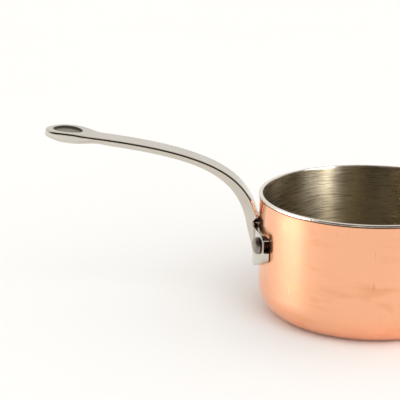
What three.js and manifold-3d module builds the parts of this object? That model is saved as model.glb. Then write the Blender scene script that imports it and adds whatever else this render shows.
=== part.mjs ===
// Copper saucepan with a steel lining and a cast steel handle held by three rivets.
//
// Units are millimetres and +Z is up. The origin is the centre of the pan's base, on the
// surface that it stands on. The handle runs along -X.
//
// The rivets pass through the lining, the copper wall and the handle's foot. A collar on each
// rivet keeps the foot clear of the hot wall.

import * as THREE from 'three';
import { mergeVertices } from 'three/addons/utils/BufferGeometryUtils.js';
import Module from 'manifold-3d';

const wasm = await Module();
wasm.setup();

// ---------------------------------------------------------------- driving dimensions

// Vessel
const RIM_INNER_RADIUS = 80;
const PAN_HEIGHT = 90.5;
const COPPER_THICKNESS = 1.6;
const LINING_THICKNESS = 0.6;
const BASE_CORNER_RADIUS = 21.5;
const LIP_OVERHANG = 0.6;
const LIP_THICKNESS = 1.1;
const LIP_EDGE_ROUNDING = 1;
const RIM_INNER_ROUNDING = 0.5;

// Handle
const ARM_REACH = 157.5;          // from the pan's wall to the tip of the eye
const ARM_RISE = 78;              // from the line of the lower rivets to the tip of the eye
const ARM_WIDTH = 21;
const ARM_THICKNESS = 5.6;
const NECK_WIDTH = 20;
const NECK_DEPTH = 9.7;
const NECK_LEAN = THREE.MathUtils.degToRad(9);
const EYE_WIDTH = 31;
const EYE_LENGTH = 40;
const EYE_DEPTH = 9.2;
const EYE_RIM_WIDTH = 6;
const EYE_SLOPE = THREE.MathUtils.degToRad(6.3);
const BAR_EDGE_ROUNDING = 1.9;    // along the edges of the neck, the arm and the eye

// Foot
const FOOT_HALF_WIDTH = 35.2;
const FOOT_DEPTH = 4.8;
const FOOT_WEB = 1.3;             // what is left under a rivet head
const FOOT_RISE = 10.1;           // from the line of the lower rivets to the top of a wing
const FOOT_DROP = 21.4;           // from the line of the lower rivets to the lowest point
const FOOT_CORNER_RADIUS = 7;
const FOOT_TAIL = 8.4;            // how far the neck's rib runs on down the foot
const WING_DROP = 7;              // from the same line to where a wing's end turns inward
const WINDOW_RISE = 5.5;          // from the same line to the top of the window in a wing's end
const WINDOW_DROP = 2.5;

// Shape of the casting, as shares of the sizes above
const NECK_ROOT_DEPTH = 0.85;     // where the centre line stands in the foot's depth
const NECK_ROOT_DROP = 0.2;       // how far below the wings' top the neck starts, in foot rises
const NECK_HOLD = 0.562;          // how long the neck holds its lean, in arm rises
const ARM_HOLD = 0.7;             // how long the arm holds the eye's slope, in arm spans
const EYE_MIDDLE = 0.38;          // where the eye's own curve starts, in eye lengths
const EYE_RISE = 1.5;             // how steeply it rises from there, in eye slopes
const EYE_HOLD = 0.19;            // how long it holds the eye's slope, in eye lengths
const EYE_ROUND = 0.43;           // length of the round end, in eye lengths
const EYE_FLARE = [0.6, 1.05];    // where the arm widens to the eye, in eye lengths
const EYE_SWELL = [0.5, 1.05];    // where it thickens to the eye, in eye lengths
const TIP_TAPER = [-0.3, 0.4];    // where the eye thins to its tip, in eye lengths
const TIP_THINNESS = 0.35;        // what is left there, in eye depths
const NECK_FLARE = [1.6, 6];      // where the neck narrows to the arm, in neck widths
const NECK_SWELL = 5.2;           // where the arm thickens to the neck, in rib lengths
const RIB_FLARE = 1.4;            // how far up the rib narrows, in neck widths
const RIB_WIDTH = 0.75;           // half of its width at the foot, in neck widths
const RIB_DEPTH = 1.35;           // its thickness there, in foot depths
const RIB_SWELL = 1.2;            // where that ends, in rib lengths
const EDGE_ROUNDING_LIMIT = 0.45; // of the edges' rounding, in thicknesses
const EDGE_WIDTH_LIMIT = 0.9;     // and in half widths
const ARM_TAPER = 0.24;           // how much narrower the arm's section is below
const EYE_TAPER = 0.5;            // how much narrower the eye's is
const EYE_TAPERING = [0.8, 1.3];  // where the one passes into the other, in eye lengths
const WING_TURN_DROP = 0.6;       // the curve below a wing's end, in corner radii
const WING_TURN_END = 0.87;
const FOOT_SAG = 1 / 3;           // half of the lowest part's width, in half widths
const EYE_END_RIM = 1.57;         // the metal at each end of the eye's hole, in rim widths
const EYE_HOLE_TAPER = 0.38;      // how much smaller the hole is below

// Fasteners
const RIVET_LINE_DROP = 33.1;     // from the rim down to the lower rivets
const LOWER_RIVET_INSET = 8.8;    // from a wing's end to the rivet in it, measured straight
const UPPER_RIVET_RISE = 12.4;    // from the lower rivets up to the upper one
const LOWER_SHANK_RADIUS = 2.5;
const LOWER_HEAD_RADIUS = 6.2;
const LOWER_HEAD_HEIGHT = 3.3;
const LOWER_COLLAR_WALL = 1.4;
const UPPER_SHANK_RADIUS = 1.6;
const UPPER_HEAD_RADIUS = 4.6;
const UPPER_HEAD_HEIGHT = 2.2;
const UPPER_COLLAR_WALL = 0.8;
const INNER_HEAD_HEIGHT = 2.2;
const HEAD_SHOULDER = 0.5;        // a dome's shape: less than 1 gives it a full shoulder
const HEAD_CROWN = 0.8;           // and less than 1 a steeper start
const NECK_NOTCH_DEPTH = 4.6;

// Clearances
const TOUCH_GAP = 0.3;            // between faces that bear on each other
const HOLE_CLEARANCE = 0.3;       // between a shank and its hole
const HEAD_CLEARANCE = 0.5;       // around a head that sits in a recess
const COLLAR_CLEARANCE = 0.3;     // around a collar in its notch
const POCKET_CLEARANCE = 1.2;     // around a collar in its pocket behind the foot
const NOTCH_OVERRUN = 1;          // how far the notch's cut runs past the neck on each side

// Facets
const ROUND_SEGMENTS = 80;
const RIVET_SEGMENTS = 24;
const CORNER_STEPS = 6;
const HEAD_STEPS = 4;
const UPPER_EDGE_STEPS = 4;
const LOWER_EDGE_STEPS = 3;
const BAR_STEPS = 72;
const OUTLINE_STEPS = 8;
const EYE_SIDES = 48;
const LIP_STEPS = 3;
const TIP_FLAT = 0.1;             // keeps the last ring of the bar from closing to a point
const REACH_PAST = 20;            // how far a cutting solid runs past what it cuts
const WELD_DISTANCE = 1e-4;       // closer corners of a mesh are one corner

// ---------------------------------------------------------------- derived sizes

const liningOuterRadius = RIM_INNER_RADIUS + LINING_THICKNESS;
const copperInnerRadius = liningOuterRadius + TOUCH_GAP;
const wallRadius = copperInnerRadius + COPPER_THICKNESS;
const lipRadius = wallRadius + LIP_OVERHANG;
const rivetLine = PAN_HEIGHT - RIVET_LINE_DROP;
const footRadius = wallRadius + FOOT_DEPTH;
const pocketFloor = footRadius - FOOT_WEB;
const notchFloor = wallRadius + NECK_NOTCH_DEPTH;
const lowerRivetAngle = Math.asin((FOOT_HALF_WIDTH - LOWER_RIVET_INSET) / footRadius);
const ribLength = FOOT_RISE + FOOT_TAIL;

// ---------------------------------------------------------------- solids and meshes

// Makes a manifold solid from a closed three.js geometry.
function solidOf(geometry) {
  const bare = geometry.clone();
  bare.deleteAttribute('normal');
  bare.deleteAttribute('uv');
  const welded = mergeVertices(bare, WELD_DISTANCE);
  const index = welded.getIndex().array;
  const triangles = [];
  for (let i = 0; i < index.length; i += 3) {
    const [a, b, c] = [index[i], index[i + 1], index[i + 2]];
    if (a !== b && b !== c && c !== a) {
      triangles.push(a, b, c);
    }
  }
  return new wasm.Manifold(new wasm.Mesh({
    numProp: 3,
    vertProperties: new Float32Array(welded.getAttribute('position').array),
    triVerts: new Uint32Array(triangles),
  }));
}

// Makes a three.js geometry from a manifold solid.
function geometryOf(solid) {
  const mesh = solid.getMesh();
  const geometry = new THREE.BufferGeometry();
  geometry.setAttribute('position', new THREE.BufferAttribute(mesh.vertProperties, 3));
  geometry.setIndex(new THREE.BufferAttribute(mesh.triVerts, 1));
  geometry.computeVertexNormals();
  return geometry;
}

function namedMesh(name, solid, material) {
  const mesh = new THREE.Mesh(geometryOf(solid), material);
  mesh.name = name;
  return mesh;
}

// Points of an arc in a profile, from one angle to another.
function arcPoints(centreX, centreY, radius, fromDegrees, toDegrees, steps) {
  const points = [];
  for (let i = 0; i <= steps; i += 1) {
    const angle = THREE.MathUtils.degToRad(fromDegrees + (toDegrees - fromDegrees) * (i / steps));
    points.push(new THREE.Vector2(
      centreX + radius * Math.cos(angle),
      centreY + radius * Math.sin(angle),
    ));
  }
  return points;
}

// Turns a profile of (radius, height) points about the Z axis.
function turned(points, segments) {
  const geometry = new THREE.LatheGeometry(points, segments);
  geometry.rotateX(Math.PI / 2);
  return solidOf(geometry);
}

// A solid cylinder about the Z axis, between two heights.
function roundBar(radius, from, to, segments) {
  return turned([
    new THREE.Vector2(0, from),
    new THREE.Vector2(radius, from),
    new THREE.Vector2(radius, to),
    new THREE.Vector2(0, to),
  ], segments);
}

// Lays a solid made along +Z on the line that runs out from the pan's axis at an angle from -X.
function laidRadially(solid, angle, height) {
  const matrix = new THREE.Matrix4()
    .makeTranslation(0, 0, height)
    .multiply(new THREE.Matrix4().makeRotationZ(angle))
    .multiply(new THREE.Matrix4().makeRotationY(-Math.PI / 2));
  return solid.transform(matrix.elements);
}

// A block between two corners.
function block(low, high) {
  const geometry = new THREE.BoxGeometry(high.x - low.x, high.y - low.y, high.z - low.z);
  geometry.translate((low.x + high.x) / 2, (low.y + high.y) / 2, (low.z + high.z) / 2);
  return solidOf(geometry);
}

// ---------------------------------------------------------------- where the rivets are

const rivets = [
  {
    name: 'upper',
    angle: 0,
    height: rivetLine + UPPER_RIVET_RISE,
    shankRadius: UPPER_SHANK_RADIUS,
    headRadius: UPPER_HEAD_RADIUS,
    headHeight: UPPER_HEAD_HEIGHT,
    collarWall: UPPER_COLLAR_WALL,
    seat: notchFloor + FOOT_WEB,
    floor: notchFloor,
  },
  ...[['near', 1], ['far', -1]].map(([side, sign]) => ({
    name: `lower_${side}`,
    angle: sign * lowerRivetAngle,
    height: rivetLine,
    shankRadius: LOWER_SHANK_RADIUS,
    headRadius: LOWER_HEAD_RADIUS,
    headHeight: LOWER_HEAD_HEIGHT,
    collarWall: LOWER_COLLAR_WALL,
    seat: footRadius,
    floor: pocketFloor,
  })),
];

// The holes for the three shanks, each running right through the wall and the foot.
function shankHoles() {
  const holes = rivets.map((rivet) => laidRadially(
    roundBar(
      rivet.shankRadius + HOLE_CLEARANCE,
      RIM_INNER_RADIUS - REACH_PAST,
      footRadius + REACH_PAST,
      RIVET_SEGMENTS,
    ),
    rivet.angle,
    rivet.height,
  ));
  return wasm.Manifold.union(holes);
}

// ---------------------------------------------------------------- vessel

// Half of a pan's section, from the outside of its base on the axis round to the inside.
function panProfile(outerRadius, innerRadius, floorBottom, thickness, outerTop, innerTop) {
  const outerCorner = BASE_CORNER_RADIUS - (wallRadius - outerRadius);
  const innerCorner = outerCorner - thickness;
  const cornerX = outerRadius - outerCorner;
  const cornerZ = floorBottom + outerCorner;
  return [
    new THREE.Vector2(0, floorBottom),
    ...arcPoints(cornerX, cornerZ, outerCorner, -90, 0, CORNER_STEPS),
    ...outerTop,
    ...innerTop,
    ...arcPoints(cornerX, cornerZ, innerCorner, 0, -90, CORNER_STEPS),
    new THREE.Vector2(0, floorBottom + thickness),
  ];
}

function copperBody() {
  const top = PAN_HEIGHT - LIP_THICKNESS - TOUCH_GAP;
  const copperFlare = LIP_OVERHANG / 2;
  const outerTop = [
    new THREE.Vector2(wallRadius, top - 2 * LIP_OVERHANG),
    new THREE.Vector2(wallRadius + copperFlare, top - copperFlare),
    new THREE.Vector2(wallRadius + copperFlare, top),
  ];
  const innerTop = [new THREE.Vector2(copperInnerRadius, top)];
  const profile = panProfile(
    wallRadius, copperInnerRadius, 0, COPPER_THICKNESS, outerTop, innerTop,
  );
  return turned(profile, ROUND_SEGMENTS).subtract(shankHoles());
}

// The lining turns outward over the copper's edge and makes the rim's lip.
function steelLining() {
  const under = PAN_HEIGHT - LIP_THICKNESS;
  const rounding = LIP_EDGE_ROUNDING;
  const outerTop = [
    new THREE.Vector2(liningOuterRadius, under),
    new THREE.Vector2(lipRadius, under),
    ...arcPoints(lipRadius - rounding, PAN_HEIGHT - rounding, rounding, 0, 90, LIP_STEPS),
  ];
  const inside = RIM_INNER_ROUNDING;
  const innerTop = arcPoints(
    RIM_INNER_RADIUS + inside, PAN_HEIGHT - inside, inside, 90, 180, LIP_STEPS,
  );
  const profile = panProfile(
    liningOuterRadius,
    RIM_INNER_RADIUS,
    COPPER_THICKNESS + TOUCH_GAP,
    LINING_THICKNESS,
    outerTop,
    innerTop,
  );
  return turned(profile, ROUND_SEGMENTS).subtract(shankHoles());
}

// ---------------------------------------------------------------- handle

// A point on the handle's middle plane: distance out from the wall, height over the rivet line.
function handlePoint(out, up) {
  return new THREE.Vector3(-(wallRadius + out), 0, rivetLine + up);
}

// Moves a point of the middle plane along a direction that is an angle over the horizontal.
function stepAlong(point, angle, distance) {
  return new THREE.Vector3(
    point.x - distance * Math.cos(angle),
    0,
    point.z + distance * Math.sin(angle),
  );
}

// The handle's centre line: up the foot, round the neck, along the arm and through the eye.
function centreLine() {
  const steep = Math.PI / 2 - NECK_LEAN;
  const neckBase = handlePoint(NECK_ROOT_DEPTH * FOOT_DEPTH, (1 - NECK_ROOT_DROP) * FOOT_RISE);
  const footEnd = stepAlong(neckBase, steep, -ribLength);
  const tip = handlePoint(ARM_REACH, ARM_RISE);
  const curved = EYE_MIDDLE * EYE_LENGTH;
  const eyeMiddle = new THREE.Vector3(
    tip.x + curved,
    0,
    tip.z - curved * Math.tan(EYE_RISE * EYE_SLOPE),
  );
  const line = new THREE.CurvePath();
  line.add(new THREE.LineCurve3(footEnd, neckBase));
  line.add(new THREE.CubicBezierCurve3(
    neckBase,
    stepAlong(neckBase, steep, NECK_HOLD * ARM_RISE),
    stepAlong(eyeMiddle, EYE_SLOPE, -ARM_HOLD * (ARM_REACH - curved)),
    eyeMiddle,
  ));
  line.add(new THREE.QuadraticBezierCurve3(
    eyeMiddle,
    stepAlong(eyeMiddle, EYE_SLOPE, EYE_HOLD * EYE_LENGTH),
    tip,
  ));
  return line;
}

// Goes smoothly from 0 at the start of a range to 1 at its end.
function easedIn(value, [start, end]) {
  return THREE.MathUtils.smoothstep(value, start, end);
}

// Half of the handle's width at a distance back from the tip and one up from the foot's end.
function halfWidthAt(fromTip, fromFoot) {
  const roundEnd = EYE_ROUND * EYE_LENGTH;
  const eyeHalf = EYE_WIDTH / 2;
  if (fromTip < roundEnd) {
    const left = 1 - Math.min(1, (fromTip + TIP_FLAT) / roundEnd);
    return eyeHalf * Math.sqrt(1 - left * left);
  }
  const toArm = easedIn(fromTip / EYE_LENGTH, EYE_FLARE);
  const toNeck = 1 - easedIn(fromFoot / NECK_WIDTH, NECK_FLARE);
  const toFoot = 1 - easedIn(fromFoot / NECK_WIDTH, [0, RIB_FLARE]);
  const arm = THREE.MathUtils.lerp(ARM_WIDTH / 2, NECK_WIDTH / 2, toNeck);
  const flared = THREE.MathUtils.lerp(arm, RIB_WIDTH * NECK_WIDTH, toFoot);
  return THREE.MathUtils.lerp(eyeHalf, flared, toArm);
}

// The handle's thickness at the same place.
function thicknessAt(fromTip, fromFoot) {
  const toEye = 1 - easedIn(fromTip / EYE_LENGTH, EYE_SWELL);
  const fromTaper = easedIn(fromTip / EYE_LENGTH, TIP_TAPER);
  const eye = THREE.MathUtils.lerp(TIP_THINNESS * EYE_DEPTH, EYE_DEPTH, fromTaper);
  const toNeck = 1 - easedIn(fromFoot / ribLength, [1, NECK_SWELL]);
  const toFoot = 1 - easedIn(fromFoot / ribLength, [0, RIB_SWELL]);
  const neck = THREE.MathUtils.lerp(ARM_THICKNESS, NECK_DEPTH, toNeck);
  const foot = THREE.MathUtils.lerp(neck, RIB_DEPTH * FOOT_DEPTH, toFoot);
  return THREE.MathUtils.lerp(foot, eye, toEye);
}

// A section of the bar as a loop of (across, up) points, with rounded edges, narrower below.
function barSection(half, height, taper) {
  const edge = Math.min(BAR_EDGE_ROUNDING, EDGE_ROUNDING_LIMIT * height, EDGE_WIDTH_LIMIT * half);
  const low = half * (1 - taper);
  const under = Math.min(edge, EDGE_WIDTH_LIMIT * low);
  const top = height / 2;
  const sides = [
    ...arcPoints(half - edge, top - edge, edge, 90, 0, UPPER_EDGE_STEPS),
    ...arcPoints(low - under, under - top, under, 0, -90, LOWER_EDGE_STEPS),
  ];
  return [
    new THREE.Vector2(0, top),
    ...sides,
    new THREE.Vector2(0, -top),
    ...sides.map((point) => new THREE.Vector2(-point.x, point.y)).reverse(),
  ];
}

// The bar of the handle: a cylinder whose rings are laid along the centre line and shaped.
function handleBar() {
  const line = centreLine();
  const length = line.getLength();
  const sides = barSection(1, 1, 0).length;
  const geometry = new THREE.CylinderGeometry(1, 1, 1, sides, BAR_STEPS);
  const position = geometry.getAttribute('position');
  const vertex = new THREE.Vector3();
  for (let i = 0; i < position.count; i += 1) {
    vertex.fromBufferAttribute(position, i);
    const along = Math.sin((vertex.y + 0.5) * (Math.PI / 2));
    const centre = line.getPointAt(along);
    const tangent = line.getTangentAt(along);
    const fromFoot = along * length;
    const fromTip = length - fromFoot;
    const inEye = 1 - easedIn(fromTip / EYE_LENGTH, EYE_TAPERING);
    const section = barSection(
      halfWidthAt(fromTip, fromFoot),
      thicknessAt(fromTip, fromFoot),
      THREE.MathUtils.lerp(ARM_TAPER, EYE_TAPER, inEye),
    );
    const turn = Math.atan2(vertex.x, vertex.z) / (2 * Math.PI);
    const corner = section[Math.round((turn + 1) * sides) % sides];
    const share = Math.hypot(vertex.x, vertex.z);
    position.setXYZ(
      i,
      centre.x + tangent.z * corner.y * share,
      corner.x * share,
      centre.z - tangent.x * corner.y * share,
    );
  }
  return solidOf(geometry);
}

// Carries a shape drawn in (Y, Z) through a stretch of X.
function slabAlongX(shape, fromX, toX) {
  const geometry = new THREE.ExtrudeGeometry(shape, {
    depth: toX - fromX,
    bevelEnabled: false,
    curveSegments: OUTLINE_STEPS,
  });
  geometry.translate(0, 0, fromX);
  geometry.applyMatrix4(new THREE.Matrix4().makeBasis(
    new THREE.Vector3(0, 1, 0),
    new THREE.Vector3(0, 0, 1),
    new THREE.Vector3(1, 0, 0),
  ));
  return solidOf(geometry);
}

// The foot's outline from the front: two wings, and an edge below that sags in the middle.
function footOutline() {
  const wing = FOOT_HALF_WIDTH;
  const top = rivetLine + FOOT_RISE;
  const bottom = rivetLine - FOOT_DROP;
  const corner = FOOT_CORNER_RADIUS;
  const wingBottom = rivetLine - WING_DROP;
  const sag = FOOT_SAG * wing;
  const turn = wingBottom - WING_TURN_DROP * corner;
  const turnEnd = wingBottom - WING_TURN_END * corner;
  const outline = new THREE.Shape();
  outline.moveTo(-(wing - corner), top);
  outline.quadraticCurveTo(-wing, top, -wing, top - corner);
  outline.lineTo(-wing, wingBottom);
  outline.quadraticCurveTo(-wing, turn, corner - wing, turnEnd);
  outline.quadraticCurveTo(-sag, bottom, 0, bottom);
  outline.quadraticCurveTo(sag, bottom, wing - corner, turnEnd);
  outline.quadraticCurveTo(wing, turn, wing, wingBottom);
  outline.lineTo(wing, top - corner);
  outline.quadraticCurveTo(wing, top, wing - corner, top);
  outline.closePath();
  return outline;
}

// The curved plate that lies along the wall.
function footPlate() {
  const low = rivetLine - FOOT_DROP - REACH_PAST;
  const high = rivetLine + FOOT_RISE + REACH_PAST;
  const ring = turned([
    new THREE.Vector2(wallRadius - FOOT_DEPTH, low),
    new THREE.Vector2(footRadius, low),
    new THREE.Vector2(footRadius, high),
    new THREE.Vector2(wallRadius - FOOT_DEPTH, high),
    new THREE.Vector2(wallRadius - FOOT_DEPTH, low),
  ], ROUND_SEGMENTS);
  return slabAlongX(footOutline(), -(footRadius + REACH_PAST), 0).intersect(ring);
}

// A pocket behind the foot for a lower rivet's collar, with a window that opens the wing's end.
function collarPocket(rivet) {
  const round = laidRadially(
    roundBar(
      collarRadius(rivet) + POCKET_CLEARANCE,
      wallRadius - REACH_PAST,
      pocketFloor,
      RIVET_SEGMENTS,
    ),
    rivet.angle,
    rivet.height,
  );
  const outward = Math.sign(rivet.angle);
  const window = block(
    new THREE.Vector3(0, outward > 0 ? 0 : -FOOT_HALF_WIDTH, -WINDOW_DROP),
    new THREE.Vector3(pocketFloor, outward > 0 ? FOOT_HALF_WIDTH : 0, WINDOW_RISE),
  );
  const placed = window.transform(new THREE.Matrix4()
    .makeTranslation(0, 0, rivet.height)
    .multiply(new THREE.Matrix4().makeRotationZ(Math.PI + rivet.angle))
    .elements);
  return round.add(placed);
}

// The round-ended notch that runs across the neck, next to the wall, with a flat seat in its
// floor for the upper collar.
function neckNotch(rivet) {
  const half = collarRadius(rivet) + COLLAR_CLEARANCE;
  const reach = NECK_WIDTH / 2 + NOTCH_OVERRUN;
  const endX = half + COLLAR_CLEARANCE - notchFloor;
  const end = new THREE.CylinderGeometry(half, half, 2 * reach, RIVET_SEGMENTS);
  end.translate(endX, 0, rivet.height);
  const straight = block(
    new THREE.Vector3(endX, -reach, rivet.height - half),
    new THREE.Vector3(-(wallRadius - REACH_PAST), reach, rivet.height + half),
  );
  const seat = laidRadially(
    roundBar(half - COLLAR_CLEARANCE / 2, wallRadius, notchFloor, RIVET_SEGMENTS),
    rivet.angle,
    rivet.height,
  );
  return solidOf(end).add(straight).add(seat);
}

// The recess in the neck's outer face that the upper rivet's head sits in.
function headRecess(rivet) {
  return laidRadially(
    roundBar(
      rivet.headRadius + HEAD_CLEARANCE,
      rivet.seat,
      rivet.seat + REACH_PAST,
      RIVET_SEGMENTS,
    ),
    rivet.angle,
    rivet.height,
  );
}

// The long hole in the eye, cut square to the eye's slope and narrowing downward.
function eyeHole() {
  const halfLength = EYE_LENGTH / 2 - EYE_END_RIM * EYE_RIM_WIDTH;
  const halfWidth = EYE_WIDTH / 2 - EYE_RIM_WIDTH;
  const growth = EYE_HOLE_TAPER / EYE_DEPTH;
  const above = EYE_DEPTH;
  const below = 2 * EYE_DEPTH;
  const hole = new THREE.CylinderGeometry(
    1 + growth * (above - EYE_DEPTH / 2), 1 - growth * (below + EYE_DEPTH / 2), above + below, EYE_SIDES,
  );
  hole.translate(0, (above - below) / 2, 0);
  hole.rotateX(Math.PI / 2);
  hole.scale(halfLength, halfWidth, 1);
  hole.rotateY(EYE_SLOPE);
  const tip = handlePoint(ARM_REACH, ARM_RISE);
  hole.translate(tip.x + EYE_RIM_WIDTH + halfLength, 0, tip.z - EYE_DEPTH / 4);
  return solidOf(hole);
}

function castHandle() {
  const [upper, ...lower] = rivets;
  const wallSpace = roundBar(
    wallRadius + TOUCH_GAP, -REACH_PAST, PAN_HEIGHT + REACH_PAST, ROUND_SEGMENTS,
  );
  const cuts = [
    wallSpace,
    ...lower.map(collarPocket),
    neckNotch(upper),
    headRecess(upper),
    shankHoles(),
    eyeHole(),
  ];
  return handleBar().add(footPlate()).subtract(wasm.Manifold.union(cuts));
}

// ---------------------------------------------------------------- rivets and collars

function collarRadius(rivet) {
  return rivet.shankRadius + HOLE_CLEARANCE + rivet.collarWall;
}

// How far a round face of this radius stands off a curved wall so that its edge just clears it.
function edgeDrop(curveRadius, faceRadius) {
  return curveRadius - Math.sqrt(curveRadius ** 2 - faceRadius ** 2);
}

// The profile of a domed head, from its edge to its crown.
function domePoints(radius, base, height) {
  const points = [];
  for (let i = 0; i <= HEAD_STEPS; i += 1) {
    const angle = (i / HEAD_STEPS) * (Math.PI / 2);
    points.push(new THREE.Vector2(
      i === HEAD_STEPS ? 0 : radius * Math.cos(angle) ** HEAD_SHOULDER,
      base + height * Math.sin(angle) ** HEAD_CROWN,
    ));
  }
  return points;
}

function rivetSolid(rivet) {
  const innerSeat = RIM_INNER_RADIUS - edgeDrop(RIM_INNER_RADIUS, rivet.headRadius) - TOUCH_GAP;
  const outerSeat = rivet.seat + TOUCH_GAP;
  const profile = [
    ...domePoints(rivet.headRadius, innerSeat, -INNER_HEAD_HEIGHT).reverse(),
    new THREE.Vector2(rivet.shankRadius, innerSeat),
    new THREE.Vector2(rivet.shankRadius, outerSeat),
    ...domePoints(rivet.headRadius, outerSeat, rivet.headHeight),
  ];
  return laidRadially(turned(profile, RIVET_SEGMENTS), rivet.angle, rivet.height);
}

function collarSolid(rivet) {
  const bore = rivet.shankRadius + HOLE_CLEARANCE;
  const outer = collarRadius(rivet);
  const near = wallRadius + TOUCH_GAP;
  const far = rivet.floor - TOUCH_GAP;
  const profile = [
    new THREE.Vector2(bore, near),
    new THREE.Vector2(outer, near),
    new THREE.Vector2(outer, far),
    new THREE.Vector2(bore, far),
    new THREE.Vector2(bore, near),
  ];
  return laidRadially(turned(profile, RIVET_SEGMENTS), rivet.angle, rivet.height);
}

// ---------------------------------------------------------------- materials

const copper = new THREE.MeshStandardMaterial({ color: 0xe8a982, roughness: 0.28, metalness: 1 });
const lining = new THREE.MeshStandardMaterial({ color: 0xa8a094, roughness: 0.35, metalness: 1 });
const castSteel = new THREE.MeshStandardMaterial({ color: 0xcfc9bd, roughness: 0.3, metalness: 1 });
const rivetSteel = new THREE.MeshStandardMaterial({ color: 0x8d8276, roughness: 0.4, metalness: 1 });
const collarSteel = new THREE.MeshStandardMaterial({ color: 0x4a4038, roughness: 0.5, metalness: 1 });

// ---------------------------------------------------------------- assembly

const vessel = new THREE.Group();
vessel.add(namedMesh('copper_body', copperBody(), copper));
vessel.add(namedMesh('steel_lining', steelLining(), lining));

const handle = new THREE.Group();
handle.add(namedMesh('cast_handle', castHandle(), castSteel));
for (const rivet of rivets) {
  handle.add(namedMesh(`collar_${rivet.name}`, collarSolid(rivet), collarSteel));
  handle.add(namedMesh(`rivet_${rivet.name}`, rivetSolid(rivet), rivetSteel));
}

const saucepan = new THREE.Group();
saucepan.add(vessel, handle);

export default saucepan;
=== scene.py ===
"""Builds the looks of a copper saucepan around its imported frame. Lengths are in metres."""

import bisect
import math
from typing import NamedTuple

import bmesh
import bpy
from bpy.props import (
    FloatProperty,
    FloatVectorProperty,
    IntProperty,
    PointerProperty,
)
from mathutils import Matrix, Vector


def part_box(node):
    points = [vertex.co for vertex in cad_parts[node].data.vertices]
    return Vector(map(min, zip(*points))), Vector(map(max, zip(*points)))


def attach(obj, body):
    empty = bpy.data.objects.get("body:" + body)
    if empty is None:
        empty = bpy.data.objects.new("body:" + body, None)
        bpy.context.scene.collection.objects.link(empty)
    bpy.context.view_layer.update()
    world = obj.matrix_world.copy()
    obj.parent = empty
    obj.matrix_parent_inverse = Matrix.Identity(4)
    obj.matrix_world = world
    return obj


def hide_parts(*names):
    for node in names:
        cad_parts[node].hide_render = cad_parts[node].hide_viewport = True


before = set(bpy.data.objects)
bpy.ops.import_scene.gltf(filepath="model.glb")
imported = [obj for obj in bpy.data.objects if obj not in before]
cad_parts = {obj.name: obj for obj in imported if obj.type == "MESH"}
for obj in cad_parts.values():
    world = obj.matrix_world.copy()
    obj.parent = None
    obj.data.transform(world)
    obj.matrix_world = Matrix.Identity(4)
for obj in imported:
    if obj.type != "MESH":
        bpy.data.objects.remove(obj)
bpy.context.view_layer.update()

bl_info = {
    "name": "Copper Saucepan",
    "version": (1, 0, 0),
    "blender": (4, 5, 0),
    "location": "View3D > Sidebar > Saucepan",
    "description": "Makes a lined copper saucepan with a riveted cast handle",
    "category": "Object",
}

ROOT = "root"
MM = 0.001

LINING_LOW, LINING_HIGH = (Vector(corner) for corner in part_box("steel_lining"))
COPPER_LOW, COPPER_HIGH = (Vector(corner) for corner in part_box("copper_body"))
RIVET_NAMES = ("upper", "lower_near", "lower_far")


def middle_height(node):
    """The height of the middle of a node's box."""
    low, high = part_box(node)
    return (low[2] + high[2]) / 2


RIVET_LINE = middle_height("rivet_lower_near")

# Shape of the casting, as shares of its sizes
NECK_ROOT_DEPTH = 0.85      # where the centre line stands in the foot's depth
NECK_ROOT_RISE = 0.8        # how far up the wings the neck starts, in foot rises
NECK_HOLD = 0.562           # how long the neck holds its lean, in arm rises
ARM_HOLD = 0.7              # how long the arm holds the eye's slope, in arm spans
EYE_MIDDLE = 0.38           # where the eye's own curve starts, in eye lengths
EYE_RISE = 1.5              # how steeply it rises from there, in eye slopes
EYE_HOLD = 0.19             # how long it holds the eye's slope, in eye lengths
EYE_ROUND = 0.43            # length of the round end, in eye lengths
EYE_FLARE = (0.6, 1.05)     # where the arm widens to the eye, in eye lengths
EYE_SWELL = (0.5, 1.05)     # where it thickens to the eye, in eye lengths
TIP_TAPER = (-0.3, 0.4)     # where the eye thins to its tip, in eye lengths
TIP_THINNESS = 0.35         # what is left there, in eye depths
NECK_FLARE = (1.6, 6)       # where the neck narrows to the arm, in neck widths
NECK_SWELL = (1, 5.2)       # where the arm thickens to the neck, in rib lengths
RIB_FLARE = (0, 1.4)        # where the rib narrows, in neck widths
RIB_WIDTH = 0.75            # half of its width at the foot, in neck widths
RIB_SWELL = (0, 1.2)        # where it thickens, in rib lengths
RIB_DEPTH = 1.35            # its thickness at the foot, in foot depths
ROUNDING_LIMIT = 0.45       # of the edges' rounding, in thicknesses
WIDTH_LIMIT = 0.9           # and in half widths
ARM_TAPER = 0.24            # how much narrower the arm's section is below
EYE_TAPER = 0.5             # how much narrower the eye's is
EYE_TAPERING = (0.8, 1.3)   # where the one passes into the other, in eye lengths
WING_TURN_DROP = 0.6        # the curve below a wing's end, in corner radii
WING_TURN_END = 0.87
FOOT_SAG = 3                # the foot's half width over the half width of its sag
EYE_END_RIM = 1.57          # the metal at each end of the eye's hole, in rim widths
EYE_HOLE_TAPER = 0.38       # how much smaller the hole is below
POCKET_ROOM = 4             # round a collar in its pocket, in gaps
RAMP_WIDTH = 0.72           # the ramp into the hole, in the hole's half widths
RAMP_RISE = 1.05            # how high the middle of its hollow is, in eye depths

# Shape of the small turned things
HOLLOW_ENDS = (180, 136)    # of the hollow under the lip, in degrees
DOME_POWERS = (0.5, 0.8)    # how full a rivet's head is across and up

# Where a finish changes
LIP_SHADE_BAND = (1.1 * MM, 0.4 * MM)    # painted shade under the lip, down from the copper's top
LIP_POLISH_AND_HIGHLIGHT_BAND = (1.4 * MM, 0.9 * MM)     # down from the lining's top, where the lip's polish and its partly painted highlight start
HOLE_RIM_SHADE_BAND = (0.15, 0.32)           # painted shade on the top of the hole's wall, up from the middle of the eye's hole, in eye depths
HOLE_EDGE = (1.12, 1.2)             # out past the wall of the eye's hole, as a squared share

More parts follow.
